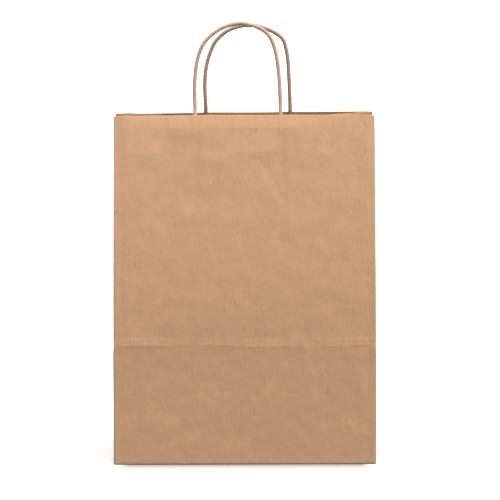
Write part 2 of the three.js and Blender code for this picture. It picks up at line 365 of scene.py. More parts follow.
def kraft_material(name, colour, fleck, fibre=1.0, roughness=0.82):
    """Kraft paper: cloudy formation, upright fibres, dark and pale flecks, folds rubbed pale, with
    painted highlights and a painted grey reflection.
    """
    n = Nodes(bpy.data.materials.new(name))
    place = n.attribute("paper", "Vector")
    slanted = n.add("ShaderNodeVectorRotate", "Vector", {"Vector": place, "Angle": FLECK_SLANT},
                    rotation_type="Z_AXIS")
    cloud = n.noise(place, (0.026, 0.022, 1.0))
    mottle = n.noise(place, (0.055, 0.045, 2.0))
    formation = n.noise(place, (0.115, 0.09, 1.0), 3.0, 0.5)
    hue = n.noise(place, (0.06, 0.06, 4.0))
    strands = n.noise(place, (0.60, 0.055, 1.0), 3.0, 0.55)
    fine = n.noise(place, (3.2, 0.7, 1.0), 2.0, 0.6)
    flecks = n.noise(place, (0.40, 0.11, 1.0), 1.0, 0.4)
    slanted_flecks = n.noise(slanted, (0.42, 0.12, 5.0), 1.0, 0.4)
    pale_flecks = n.noise(place, (0.16, 0.40, 2.3), 1.0, 0.4)
    specks = n.noise(place, (0.95, 0.5, 3.7), 1.0, 0.4)

    tone = n.mix(n.level(cloud, 0.3, 0.7), tinted(colour, 0.955), tinted(colour, 1.045))
    # Layers of colour: noise, the levels at which it starts and is full, strength, tint
    layers = (
        (hue, 0.3, 0.7, 0.85, (1.02, 0.955, 0.905)),
        (mottle, 0.36, 0.64, 1.0, (0.93,)),
        (formation, 0.36, 0.64, 1.0, (0.925,)),
        (strands, 0.38, 0.66, 0.16 * fibre, (1.12,)),
        (fine, 0.45, 0.75, 0.05 * fibre, (0.84,)),
        (flecks, 0.68, 0.76, fleck, (0.75,)),
        (slanted_flecks, 0.69, 0.77, fleck, (0.80,)),
        (pale_flecks, 0.70, 0.77, fleck, (1.10,)),
        (specks, 0.76, 0.82, fleck * 0.8, (0.68,)),
    )
    for value, start, full, strength, tint in layers:
        tone = n.mix(n.level(value, start, full, 0.0, strength), tone, tinted(colour, *tint))
    # Pale wearing, and painted highlights on the stiff band and the fold line's lip
    patchy = n.level(strands, 0.25, 0.65, 0.35, 1.0)
    pale_wear_and_highlight = n.times(n.attribute("wear_and_highlight"), patchy)
    tone = n.mix(pale_wear_and_highlight, tone, tinted(colour, *WEAR_AND_HIGHLIGHT_TINT))
    # Painted grey reflection, at the floor and on the vertical folds
    tone = n.mix(n.attribute("painted_reflection"), tone, tinted(colour, *REFLECTION_TINT))
    n.link(tone, n.shader.inputs["Base Color"])

    shine = n.level(formation, 0.3, 0.7, roughness - 0.07, roughness + 0.07)
    n.link(shine, n.shader.inputs["Roughness"])
    n.shader.inputs["Specular IOR Level"].default_value = 0.28
    soft = n.bump(mottle, 1.0, 0.8)
    waves = n.bump(formation, 0.11, 0.8, soft)
    grain = n.bump(strands, 0.012, 0.5 * fibre, waves)
    n.link(n.bump(fine, 0.006, 0.5, grain), n.shader.inputs["Normal"])
    return n.owner


def cord_material(name, colour):
    """Twisted paper cord: shade is painted into the grooves between the strands, and each strand
    has fine creases.
    """
    n = Nodes(bpy.data.materials.new(name))
    place = n.attribute("paper", "Vector")
    crease = n.noise(place, (1.2, 1.6, 1.0), 3.0, 0.65)
    cloud = n.noise(place, (0.12, 0.07, 1.0))
    tone = n.mix(n.level(cloud, 0.3, 0.7), tinted(colour, 0.88), tinted(colour, 1.1))
    tone = n.mix(n.level(crease, 0.4, 0.7, 0.0, 0.45), tone, tinted(colour, 0.72))
    # Painted shade in the grooves between the strands
    tone = n.mix(n.level(n.attribute("groove_and_shade"), 0.45, 1.0, 0.0, 0.42), tone, tinted(colour, 0.50))
    n.link(tone, n.shader.inputs["Base Color"])
    n.link(n.level(crease, 0.3, 0.7, 0.7, 0.88), n.shader.inputs["Roughness"])
    n.shader.inputs["Specular IOR Level"].default_value = 0.3
    n.link(n.bump(crease, 0.12, 0.6), n.shader.inputs["Normal"])
    return n.owner


KRAFT_COLOUR = (0.584, 0.336, 0.188)
INSIDE_COLOUR = (0.50, 0.30, 0.165)
PATCH_COLOUR = (0.51, 0.31, 0.172)
FRONT_CORD_COLOUR = (0.61, 0.43, 0.32)
# The back handle is the same cord paper as the front one: its darker colour is painted shade
BACK_CORD_SHADED_COLOUR = (0.455, 0.29, 0.212)
outside = kraft_material("kraft_outside", KRAFT_COLOUR, 0.55)
inside = kraft_material("kraft_inside", INSIDE_COLOUR, 0.5, fibre=0.8, roughness=0.88)
patch_paper = kraft_material("patch_paper", PATCH_COLOUR, 0.5, fibre=0.9, roughness=0.85)
front_cord_paper = cord_material("front_cord_paper", FRONT_CORD_COLOUR)
back_cord_shaded_paper = cord_material("back_cord_shaded_paper", BACK_CORD_SHADED_COLOUR)


# ---- handles' routes
# As in the CAD source: X of the two legs at the mouth, and the arch's points as X and height
FRONT_HANDLE = {
    "legs": (-44.8, 33.3),
    "arch": [
        (-45.1, 25), (-44.3, 38), (-42.4, 49.7), (-39.5, 59.0), (-35.5, 66.2), (-30.4, 71.5),
        (-23.6, 76.6), (-15.4, 80.5), (-3.5, 82.8), (8.6, 80.7), (18.4, 75.9), (23.8, 70.3),
        (27.6, 61.5), (30.1, 50.5), (31.7, 37.7), (32.6, 25),
    ],
}
BACK_HANDLE = {
    "legs": (-35.6, 42.6),
    "arch": [
        (-36.4, 23), (-35.6, 38), (-33.3, 49.0), (-30.1, 58.1), (-26.7, 64.8), (-21.7, 70.3),
        (-14.5, 75.5), (-2.5, 79.6), (9.5, 80.0), (18.9, 77.6), (27.3, 74.1), (33.2, 70.1),
        (37.0, 65.3), (39.1, 57.6), (40.5, 48.8), (41.3, 37.6), (42.0, 23),
    ],
}
HANDLES = {FRONT: FRONT_HANDLE, BACK: BACK_HANDLE}
LEG_SPLAY = 0.4  # how far the legs' buried ends spread outward
SPLAY_DEPTH = 31.0  # how far below the top edge they have spread that far
SETTLE = 1.1  # how far inward of its feet a loop lies
SETTLE_HEIGHT = 28.0  # height over which it gets there
CORD_RADIUS = 1.8
PATCH_WIDTH = 128.0
PATCH_HEIGHT = 34.0
PATCH_DROP = 0.8  # a patch's upper edge, below the top edge
PRESSED_BAND = 13.0  # height of the stiff band along the top edge
BAND_BREAK = 0.062  # slope at which the walls lean in from the band's lower line
BAND_CURL = 0.0073  # how much that slope grows with each millimetre above the line
CURL_LEFT = (-111, -94)  # X over which the band's lean sets in from its left end
CURL_RIGHT = (-125, -40)  # and -X over which it does from its right end
PATCH_TOP_STEP = 0.20  # how far the patch presses the band out, above the band's lower line
PATCH_STEP = 0.07  # how far the patch presses the panel out
HEM_STEP = 0.06  # and the hem
LAP_STEP = 0.10  # and the seam's lap
LAP_EDGE = corners("seam_lap_upper")[1][0]


def patch_centre(side):
    return sum(HANDLES[side]["legs"]) / 2


# ---- relief of the walls
CREASE_TOP = CREASE_HEIGHT + 9.8  # upper line of the double fold line
CREASE_LIP = CREASE_HEIGHT + 2.8  # and its lower one, where the paper stands out to a lip
# How far the walls turn back beside their left and right folds, at these heights
EDGE_TURN_AT = [CREASE_HEIGHT, 150, HEIGHT - 75, HEIGHT - 35]
EDGE_TURN_LEFT = [0.5, 0.9, 0.9, 1.3]
EDGE_TURN_RIGHT = [1.2, 0.5, 0.4, -0.5]
# Soft creases pulled into the front panel by the handle: points as X and height, depth, half width
PULL_CREASES = [
    ([(3, 279), (14, 276), (23, 266), (29, 253), (33, 239)], 0.36, 2.1),
    ([(35, 243), (38, 239), (42, 235)], 0.36, 1.6),
    ([(63, 311), (54, 300), (43, 286)], 0.26, 2.6),
    ([(44, 304), (44, 294), (46, 282)], 0.25, 2.0),
    ([(101, 317), (108, 310), (114, 303)], 0.25, 2.0),
    ([(96, 282), (106, 276), (117, 274)], 0.20, 2.4),
    ([(-96, 230), (-70, 214), (-52, 186)], 0.16, 4.5),
    ([(-118, 206), (-108, 214), (-100, 226)], 0.18, 3.0),
    ([(-22, 232), (-12, 229), (-3, 221)], 0.12, 2.0),
]
# Soft swellings of the front panel: X and height of the middle, half width, half height, rise
SWELLINGS = [
    (-55, 302, 15, 4.5, 0.34),
    (50, 301, 13, 6.0, 0.34),
    (-86, 281, 11, 11, 0.70),
    (-24, 277, 15, 7.0, 0.55),
    (9, 284, 12, 6.5, 0.55),
    (73, 281, 7, 7.0, 0.34),
    (27, 243, 8, 9.0, 0.12),
    (42, 211, 9, 10, 0.30),
    (-51, 228, 10, 7.0, 0.38),
    (-15, 224, 11, 8.0, 0.32),
    (84, 246, 16, 12, 0.34),
    (20, 168, 30, 14, 0.25),
    (-60, 150, 22, 12, 0.20),
]


def distance_to_line(x, s, points):
    """Distance to a line through points, and how far along it the nearest place is, 0 to 1."""
    best = np.full(np.broadcast(x, s).shape, 1e9)
    along = np.zeros_like(best)
    for i, ((ax, az), (bx, bz)) in enumerate(zip(points, points[1:])):
        dx, dz = bx - ax, bz - az
        t = np.clip(((x - ax) * dx + (s - az) * dz) / (dx * dx + dz * dz), 0, 1)
        d = np.hypot(x - ax - t * dx, s - az - t * dz)
        nearer = d < best
        best = np.where(nearer, d, best)
        along = np.where(nearer, (i + t) / (len(points) - 1), along)
    return best, along


def fold_line(x, s):
    """Height as the slightly wavy double fold line sees it."""
    return s + 0.6 * np.sin(x / 31.0) + 0.4 * np.sin(x / 11.0 + 1.0)


def crease_relief(x, s):
    """The double fold line: the paper stands out to a lip and then turns in."""
    line = fold_line(x, s)
    strength = 1 + 0.35 * np.sin(x / 17.0 + 0.5) + 0.2 * np.sin(x / 6.3)
    out = 0.235 * np.clip((CREASE_TOP - line) / (CREASE_TOP - CREASE_LIP), 0, 1)
    return out * np.exp(-np.clip(CREASE_LIP - line, 0, None) / 3.0) * strength


def band_relief(side, x, s):
    """The stiff band along the top edge leans in, and the patch and the hem press through."""
    seed = WALL_SEEDS[side]
    centre, half = patch_centre(side), PATCH_WIDTH / 2
    over_patch = past(x, centre - half) * past(-x, -centre - half)
    uneven = 1 + 0.5 * rolling(x, 0 * x, seed + 2.0, 22.0)
    line = HEIGHT - PRESSED_BAND + 0.7 * rolling(x, 0 * x, seed + 4.0, 40.0)
    blur = 5.0 - 4.3 * over_patch
    above = blur * np.logaddexp(0, (s - line) / blur)
    curling = ramp(x, *CURL_LEFT) * ramp(-x, *CURL_RIGHT) * (0.8 + 0.2 * uneven)
    leaning = curling * (BAND_BREAK * above + BAND_CURL / 2 * above**2)
    patch = PATCH_TOP_STEP * past(s, line, 1.3) + PATCH_STEP * past(s, HEIGHT - PATCH_HEIGHT)
    return uneven * (over_patch * patch + HEM_STEP * past(s, HEIGHT - HEM)) - leaning


def leg_relief(x, s, leg):
    """A handle leg's buried cord stands out, with a long dent below it and a swelling beside."""
    top = s - HEIGHT
    ridge = 0.30 * bump(x, leg, 2.2) * ramp(top, -20, -13)
    beside = 0.35 * ramp(x, leg + 1.5, leg + 6.5) * bump(x, leg + 6, 26) * ramp(top, -76, -58)
    dent = 0.20 * bump(x, leg, 4.5) * ramp(-top, 12, 30) * ramp(top, -80, -40)
    return ridge + beside - dent


def bow_relief(x, s):
    """The upper part bows out in the middle, waves at the handle, and turns back at its folds."""
    top = s - HEIGHT
    bow = 0.9 * ramp(top, -85, -12) * (1 - 0.75 * ramp(np.abs(x), 55, 112))
    wave = 0.4 * np.cos((x - 4) * 2 * np.pi / 81) * ramp(top, -70, 0) * ramp(-x, -75, -40)
    turns = [np.interp(s, EDGE_TURN_AT, turn) for turn in (EDGE_TURN_LEFT, EDGE_TURN_RIGHT)]
    beside_fold = np.clip(np.abs(x) - 103, 0, None) / 15
    return bow - wave - np.where(x < 0, *turns) * beside_fold**2


def noise_relief(x, s, seed):
    """Long waves, dents and fine cockle, which fade towards the stiff bottom."""
    waves = 0.50 * rolling(x, s, seed, 95.0) * ramp(s, 6, 40)
    dents = 0.15 * rolling(x, s, seed + 7.0, 26.0) * (0.6 + 0.4 * ramp(s, 100, 125))
    cockle = 0.024 * rolling(x, s, seed + 9.0, 9.0) * (1 + ramp(s, 220, 260))
    return waves + (dents + cockle) * ramp(s, 6, 30)


def front_relief(x, s):
    """The front panel's own creases and swellings."""
    relief = 0.0
    for points, depth, width in PULL_CREASES:
        distance, along = distance_to_line(x, s, points)
        relief = relief - depth * bump(distance, 0, width) * np.sin(np.pi * along) ** 0.7
    for middle_x, middle_s, half_width, half_height, rise in SWELLINGS:
        relief = relief + rise * bump(x, middle_x, half_width) * bump(s, middle_s, half_height)
    return relief


def wall_relief(side, x, s):
    """How far the outer face stands out from the plain panel."""
    relief = band_relief(side, x, s) + bow_relief(x, s) + crease_relief(x, s)
    relief = relief + noise_relief(x, s, WALL_SEEDS[side])
    for leg in HANDLES[side]["legs"]:
        relief = relief + leg_relief(x, s, leg)
    if side == FRONT:
        return relief + front_relief(x, s)
    return relief + LAP_STEP * past(-x, -LAP_EDGE, 1.5)


def fold_wear_and_highlight(x, s):
    """Pale wearing along the double fold line, stronger on its upper line near the corners. On the
    lip, where the paper stands out, the paleness is also a painted highlight.
    """
    line = fold_line(x, s)
    # On the lip: pale wearing and a painted highlight
    on_lip = (0.38 + 0.16 * np.sin(x / 19.0 + 1.2)) * bump(line, CREASE_LIP, 1.1)
    on_top = (0.10 + 0.28 * ramp(np.abs(x), 80, 98)) * bump(line, CREASE_TOP - 1.0, 1.2)
    between = 0.13 * bump(line, (CREASE_LIP + CREASE_TOP) / 2, 3.0)
    return between + on_lip + on_top


def edge_reflection(across, s):
    """Painted grey reflection on the vertical folds, wider below the crease. across is -1 to 1 on
    the flat part and goes on to -2 and 2 round the folds."""
    out = np.abs(across)
    start = 0.985 - 0.03 * past(-s, -CREASE_HEIGHT, 10)
    return EDGE_REFLECTION * ramp(out, start, 1.03) * ramp(-out, -1.95, -1.3)


# ---- front and back walls
def reach(s):
    """Reach of the rounded vertical fold at height s."""
    return FOLD + BASE_FOLD * np.clip(1 - s / BASE_FOLD_HEIGHT, 0, 1) ** 2


def gusset_direction(side, end, s):
    """Plan direction in which the gusset leaves the corner."""
    start = ramp(s, CREASE_HEIGHT - 5, CREASE_HEIGHT)
    inward = tuck(s) * np.where(s < CREASE_HEIGHT, start, 1.0)
    along = np.sqrt(np.maximum(BASE_HALF_DEPTH**2 - inward**2, 1))
    return unit(np.stack([-end * inward, -side * along], axis=-1))


def corner_arc(side, end, s, t):
    """Points round a vertical fold at heights s: t runs from 0 on the panel to 1 on the gusset."""
    s, t = np.broadcast_arrays(s, t)
    size = reach(s)[..., None]
    corner = np.stack([np.full(s.shape, end * HALF_WIDTH), side * half_depth(s)], axis=-1)
    first = corner + size * np.array([-end, 0.0])
    last = corner + size * gusset_direction(side, end, s)
    t = t[..., None]
    return (1 - t) ** 2 * first + 2 * t * (1 - t) * corner + t**2 * last


def base_rounding(s):
    """Inset of the walls where they turn under the bag."""
    low = np.clip(BASE_ROUND - s, 0, BASE_ROUND)
    return BASE_ROUND - np.sqrt(np.maximum(BASE_ROUND**2 - low**2, 0))


def plan_inset(points, inset):
    """Moves rows of plan points inward by inset, along each row's own normals."""
    along = np.gradient(points, axis=1)
    normal = unit(np.stack([along[..., 1], -along[..., 0]], axis=-1))
    return points - normal * inset[..., None]


def bottom_rows():
    """Heights of the rows that turn under the bag."""
    return BASE_ROUND * (1 - np.cos(np.linspace(0, np.pi / 2, 8)))[:-1]


def wall_rows():
    """Heights of a wall's rows: close together at the folds."""
    return np.concatenate([
        bottom_rows(),
        np.linspace(BASE_ROUND, CREASE_HEIGHT - 5, 42)[:-1],
        np.linspace(CREASE_HEIGHT - 5, CREASE_TOP + 2, 30)[:-1],
        np.linspace(CREASE_TOP + 2, HEIGHT - HEM - 3, 66)[:-1],
        np.linspace(HEIGHT - HEM - 3, HEIGHT - TOP_ROUND, 48),
    ])


def wall_plan(side, s, across):
    """Plan points of a front or back wall with its folds: across holds -1 to 1 for the flat part,
    and beyond it the way round the folds. The back wall's left edge is raw, and runs on nearly to
    the corner."""
    limit = HALF_WIDTH - reach(s)[:, None]
    if side == BACK:
        limit = np.where(across < 0, HALF_WIDTH - RAW_INSET, limit)
    flat = np.clip(across, -1, 1) * limit
    plan = np.stack([flat, side * np.broadcast_to(half_depth(s)[:, None], flat.shape)], axis=-1)
    for end in (LEFT, RIGHT):
        on_arc = end * across > 1
        if on_arc.any():
            plan[:, on_arc] = corner_arc(side, end, s[:, None], np.abs(across[on_arc]) - 1)
    return plan


def turned_top(grid, pinch=1.0):
    """Rows that roll over the top edge and go down inside as far as the hem does. pinch below 1
    makes the roll tighter."""
    top = grid[-1]
    up = unit(top - grid[-2])
    normals = normals_of(grid)
    radius = np.broadcast_to(TOP_ROUND * pinch, len(top))[:, None]
    rows = [
        top - normals[-1] * radius * (1 - math.cos(a)) + up * radius * math.sin(a)
        for a in np.linspace(0, math.pi, 8)[1:]
    ]
    count = int(np.searchsorted(row_distance(grid[::-1]), HEM))
    rows += [grid[-1 - i] - normals[-1 - i] * radius * 2 for i in range(1, count + 1)]
    return np.stack(rows)


WALL_COLUMNS = 134  # of a wall's flat part
FLAT_EDGE = 0.06  # share of its half width over which the relief fades out at each end
EDGE_WEAR = 0.12  # how pale the vertical folds are rubbed, where their grey reflection is painted
BAND_HIGHLIGHT = 0.06  # and the stiff band along the top, where this paleness is a painted highlight of the band leaning back towards the light
HEM_WEAR = 0.35  # and the inside, just under the top edge


def wall(name, side):
    """The front or back panel from under the bag to its turned-in top edge, in one sheet.
    The back one has the glued seam at its left edge."""
    arc = 1 + np.linspace(0, 1, ARC_STEPS)[1:]
    across = np.concatenate([np.linspace(-1, 1, WALL_COLUMNS), arc])
    across = np.concatenate([-arc[::-1], across]) if side == FRONT else across[::-1]
    s = wall_rows()
    grid = raised(plan_inset(wall_plan(side, s, across), base_rounding(s)[:, None]), s)
    on_flat = ramp(1 - np.abs(across), 0.0, FLAT_EDGE)
    relief = wall_relief(side, grid[..., 0], grid[..., 2]) * on_flat
    grid = grid + normals_of(grid) * relief[..., None]
    grid[..., 2] -= edge_drop(side, grid[..., 0], grid[..., 2])
    grid = with_bottom_lip(grid)
    outer_rows = len(grid)
    hem = turned_top(grid, np.where(np.abs(across) > 1, TOP_PINCH, 1.0))
    grid = np.concatenate([grid, hem])
    place = flat_place(grid.shape, across * HALF_WIDTH + WALL_PLACE[side],
                       row_distance(grid)[:, None], WALL_SEEDS[side])
    x, z = grid[..., 0], grid[..., 2]
    # Painted grey reflection on the vertical folds
    painted_reflection = edge_reflection(across, z)
    # Pale wearing of the folds, with a painted highlight on the fold line's lip
    wear_and_highlight = fold_wear_and_highlight(x, z) + EDGE_WEAR * painted_reflection
    # Painted highlight on the stiff band along the top edge
    wear_and_highlight += BAND_HIGHLIGHT * ramp(z, HEIGHT - PRESSED_BAND, HEIGHT - 8)
    wear_and_highlight[outer_rows:] = HEM_WEAR * bump(np.arange(len(hem)), 3, 3.0)[:, None]
    return paper_sheet(name, grid, place, [outside, inside], np.clip(wear_and_highlight, 0, 1), painted_reflection)


def bend_at_crease(piece):
    """Bakes a piece's transform into its mesh."""
    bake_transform(piece)


for side, word in SIDE_NAMES.items():
    piece = wall(f"{word}_wall_sheet", side)
    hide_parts(f"{word}_panel_lower", f"{word}_panel_upper", f"{word}_top_hem")
    bend_at_crease(piece)


# ---- gussets
FOLD_SOFTNESS = 0.02  # how gradually a lower gusset's flat part turns into its tucked-in part
UPPER_SLANT = 38.0  # length that turns its upper slant's share of the height into mm
LIP_PLACE = -6.0  # where its first row, under the bag, lies on the flat sheet


def lower_gusset(end):
    """Below the crease: flat with its triangle, then starting to tuck in along the middle."""
    name = END_NAMES[end]
    s = np.concatenate([bottom_rows(), np.linspace(BASE_ROUND, CREASE_HEIGHT + 0.4, 60)])
    v = np.linspace(-1, 1, 61)[::end]
    z = s[:, None]
    y = v * (half_depth(s) - reach(s))[:, None]
    rise = np.clip((z - TRIANGLE_TIP) / (CREASE_HEIGHT - TRIANGLE_TIP), 1e-3, None)
    fold = 1 - np.sqrt(y**2 + GUSSET_ROUND**2) / (CREASE_HALF_DEPTH * rise)
    fold = FOLD_SOFTNESS * np.logaddexp(0, np.clip(fold, -9, 1) / FOLD_SOFTNESS)
    inward = tuck(CREASE_HEIGHT) * rise * fold * (rise > 2e-3)
    plan = np.stack([end * (HALF_WIDTH - inward), y], axis=-1)
    grid = raised(plan_inset(plan, base_rounding(s)[:, None]), s)

    # Distances from the slanted folds below and above the triangle's tip
    slant = (np.abs(y) + z - TRIANGLE_TIP) / math.sqrt(2)
    upper_slant = (np.abs(y) / CREASE_HALF_DEPTH - rise) * UPPER_SLANT
    relief = -0.3 * bump(slant, 0, 1.0) * ramp(-z, -TRIANGLE_TIP, -TRIANGLE_TIP + 6)
    relief = relief + 0.25 * bump(upper_slant, 0, 1.0) * (rise > 0.02)
    relief = relief + 0.7 * rolling(y, z, 20.0 + end, 60.0)
    relief = relief + 0.12 * rolling(y, z, 24.0 + end, 20.0)
    relief = relief * ramp(1 - np.abs(v), 0.0, 0.12) * ramp(z, 4, 20)
    grid = with_bottom_lip(grid + normals_of(grid) * relief[..., None])
    place = flat_place(grid.shape, GUSSET_PLACE[end] + v * BASE_HALF_DEPTH,
                       np.concatenate([[LIP_PLACE], s])[:, None], 5.0 + end)
    wear_and_highlight = np.zeros(grid.shape[:2])
    wear_and_highlight[1:] = 0.3 * bump(slant, 0, 0.9) * (z < TRIANGLE_TIP)
    wear_and_highlight[1:] += 0.3 * bump(upper_slant, 0, 0.8) * (rise > 0.02)
    wear_and_highlight[1:] += 0.35 * bump(y, 0, 1.0) * (z > TRIANGLE_TIP)
    piece = paper_sheet(f"{name}_gusset_lower_sheet", grid, place, [outside, inside],
                        np.clip(wear_and_highlight, 0, 1))
    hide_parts(f"{name}_gusset_lower")
    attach(piece, "base")


GUSSET_OVERLAP = 2.6  # how far down the upper halves reach inside the lower gusset
GUSSET_PAST = 0.5  # how far each half runs past the middle fold


def upper_gusset_half(side, end):
    """Above the crease: from the rounded corner fold to the gusset's middle fold."""
    name, word = END_NAMES[end], SIDE_NAMES[side]
    s = np.concatenate([
        np.linspace(CREASE_HEIGHT - GUSSET_OVERLAP, CREASE_HEIGHT + 14, 12)[:-1],
        np.linspace(CREASE_HEIGHT + 14, HEIGHT - TOP_ROUND, 90),
    ])
    outer = BASE_HALF_DEPTH - FOLD
    q = np.linspace(-GUSSET_PAST, outer, 44)[::side * end]
    u = np.clip((s - CREASE_HEIGHT) / (HEIGHT - CREASE_HEIGHT), 0, 1)[:, None]
    deep = tuck(s)[:, None]
    wide = np.where(s < CREASE_HEIGHT, CREASE_HALF_DEPTH, half_depth(s))[:, None]
    curve = np.sqrt(q**2 + GUSSET_ROUND**2) - GUSSET_ROUND
    curve = curve * BASE_HALF_DEPTH / (math.hypot(BASE_HALF_DEPTH, GUSSET_ROUND) - GUSSET_ROUND)
    x = end * (HALF_WIDTH - deep + deep / BASE_HALF_DEPTH * curve)
    y = side * wide / BASE_HALF_DEPTH * q
    z = s[:, None] - GUSSET_DIP * u * (1 - q / BASE_HALF_DEPTH)
    grid = np.stack([x, y, z], axis=-1)

    seed = 30.0 + 3 * side + end
    relief = 0.9 * rolling(q, s[:, None], seed, 70.0)
    relief = relief + 0.14 * rolling(q, s[:, None], seed + 5, 22.0)
    relief = relief * ramp(q, 0, 8) * ramp(-q, -outer, -outer + 6)
    relief = relief * ramp(s, CREASE_HEIGHT, CREASE_HEIGHT + 20)[:, None]
    relief = relief - 0.5 * ramp(-s, -CREASE_HEIGHT - 0.2, -CREASE_HEIGHT + 1.0)[:, None]
    grid = grid + normals_of(grid) * relief[..., None]
    corner_drop = edge_drop(side, end * HALF_WIDTH, s)[:, None]
    grid[..., 2] -= corner_drop * np.clip(q, 0, None) / BASE_HALF_DEPTH
    outer_rows = len(grid)
    grid = np.concatenate([grid, turned_top(grid)])
    place = flat_place(grid.shape, GUSSET_PLACE[end] + end * side * q,
                       row_distance(grid)[:, None] + CREASE_HEIGHT, 5.0 + end)
    wear_and_highlight = np.tile(0.4 * bump(q, 0, 0.9), (len(grid), 1))
    wear_and_highlight[:outer_rows] += 0.3 * bump(s, CREASE_HEIGHT, 0.9)[:, None]
    piece = paper_sheet(f"{name}_gusset_{word}_half", grid, place, [outside, inside],
                        np.clip(wear_and_highlight, 0, 1))
    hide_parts(f"{name}_gusset_{word}_fold")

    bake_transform(piece)


for end in (LEFT, RIGHT):
    lower_gusset(end)
    for side in (FRONT, BACK):
        upper_gusset_half(side, end)


# ---- layers glued inside
OUTER_PATCH_DEPTH = 1.15
CORD_DEPTH = MOUTH_HALF_DEPTH - BEND_HALF_DEPTH
PRESSED_DEPTH = 2.9  # of the buried cord's middle
PRESSED_RADIUS = 1.15  # of the buried cord, which the patches squeeze flat
RIDGE_WIDTH = 3.6  # of the ridges that the buried cords raise in the inner patches
CORD_ROOM = 0.3  # between a buried cord and the inner patch over it
PATCH_MOUTH = 1.7  # how much further an inner patch stands off where the cord leaves it


def patch_layer(name, side, xs, heights, depth, seed, wave):
    """A strip of patch paper glued inside the front or back wall. depth gives how far its outer
    face lies under the wall's, from X and height."""
    x, s = np.meshgrid(xs[::-side], heights)
    grid = panel_point(side, x, s, depth(x, s))
    follow = wall_relief(side, x, s) + wave * rolling(x, s, seed, 30.0)
    grid = grid + normals_of(grid) * follow[..., None]
    grid[..., 2] -= edge_drop(side, grid[..., 0], s)
    return paper_sheet(name, grid, wall_place(grid, seed), [patch_paper, patch_paper])


def ridge(side, x, s):
    """1 on the handle's buried cord ends and 0 away from them."""
    across = 0.0
    for leg in HANDLES[side]["legs"]:
        splayed = leg + math.copysign(LEG_SPLAY, leg) * (HEIGHT - s) / SPLAY_DEPTH
        across = across + bump(x, splayed, RIDGE_WIDTH)
    return across * ramp(s, HEIGHT - PATCH_HEIGHT + 1.5, HEIGHT - PATCH_HEIGHT + 7)


for side, word in SIDE_NAMES.items():
    centre, half = patch_centre(side), PATCH_WIDTH / 2
    top = HEIGHT - PATCH_DROP

    def outer_depth(x, s):
        return OUTER_PATCH_DEPTH

    def inner_depth(x, s, side=side):
        plain = OUTER_PATCH_DEPTH + LAYER
        mouth = PATCH_MOUTH * ramp(s, HEIGHT - 11, HEIGHT - 4)
        crest = PRESSED_DEPTH + PRESSED_RADIUS + CORD_ROOM + mouth
        flat_top = np.clip(1.35 * ridge(side, x, s), 0, 1)
        return plain + (crest - plain) * smooth(flat_top)

    outer = patch_layer(f"{word}_outer_patch_sheet", side,
                        np.linspace(centre - half - 1, centre + half + 1, 80),
                        np.linspace(top - PATCH_HEIGHT, top, 26), outer_depth, 41.0 + side, 0.05)
    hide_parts(f"{word}_handle_outer_patch")
    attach(outer, f"{word}_wall")

    inner = patch_layer(f"{word}_inner_patch_sheet", side,
                        np.linspace(centre - half, centre + half, 190),
                        np.linspace(top - PATCH_HEIGHT + 1, top - 0.6, 30), inner_depth,
                        45.0 + side, 0.06)
    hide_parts(f"{word}_handle_inner_patch")
    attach(inner, f"{word}_wall")


# ---- handle cords
STRANDS = 3
TWIST_PITCH = 11.0  # length of one whole turn of the twist
CORD_SIDES = 24
CORD_STEP = 0.7  # from one ring of the cord to the next
SMOOTH_STEPS = 24  # points on the smooth curve between two points of the route
CREST = 1.06  # radius of the strands' crests, of the cord's
GROOVE = 0.126  # how deep the grooves between them are, of the cord's radius
FOOT_HEIGHT = BEND_HEIGHT + 2.0  # where a loop's legs start to follow the arch's points


def cord_route(side):
    """Points that a handle's cord follows, from its left buried end to its right one."""
    handle = HANDLES[side]

    def leg(x):
        splayed = x + math.copysign(LEG_SPLAY, x)
        buried = [
            (splayed, HEIGHT - 30.5, PRESSED_DEPTH),
            (splayed, HEIGHT - 22, PRESSED_DEPTH),
            (x, HEIGHT - 11, PRESSED_DEPTH),
            (x, HEIGHT - 3.5, CORD_DEPTH - 0.15),
        ]
        foot = np.array([x, side * BEND_HALF_DEPTH, FOOT_HEIGHT])
        return [
            panel_point(side, across, s, depth - wall_relief(side, across, s))
            for across, s, depth in buried
        ] + [foot]

    arch = []
    for x, height in handle["arch"]:
        settled = min(1.0, (HEIGHT + height - FOOT_HEIGHT) / SETTLE_HEIGHT)
        arch.append(np.array([x, side * (BEND_HALF_DEPTH - SETTLE * settled), HEIGHT + height]))
    left, right = (leg(x) for x in handle["legs"])
    return np.array(left + arch + right[::-1])


def straight(u, start, end, a, b):
    """The point that is at a when u is start and at b when u is end."""
    return (end - u) / (end - start) * a + (u - start) / (end - start) * b


def through(points):
    """Evenly spaced points on a smooth curve through points (centripetal Catmull-Rom), and how
    far along the curve each one is."""
    ends = np.concatenate([[2 * points[0] - points[1]], points, [2 * points[-1] - points[-2]]])
    fine = []
    for i in range(len(points) - 1):
        p0, p1, p2, p3 = ends[i:i + 4]
        spans = [math.sqrt(np.linalg.norm(b - a)) for a, b in ((p0, p1), (p1, p2), (p2, p3))]
        t0, t1, t2, t3 = np.cumsum([0, *spans])
        u = np.linspace(t1, t2, SMOOTH_STEPS, endpoint=False)[:, None]
        a1 = straight(u, t0, t1, p0, p1)
        a2 = straight(u, t1, t2, p1, p2)
        a3 = straight(u, t2, t3, p2, p3)
        b1 = straight(u, t0, t2, a1, a2)
        b2 = straight(u, t1, t3, a2, a3)
        fine.append(straight(u, t1, t2, b1, b2))
    fine = np.concatenate([*fine, points[-1:]])
    length = row_distance(fine[:, None])
    at = np.linspace(0, length[-1], int(length[-1] / CORD_STEP))
    return np.stack([np.interp(at, length, fine[:, k]) for k in range(3)], axis=1), at


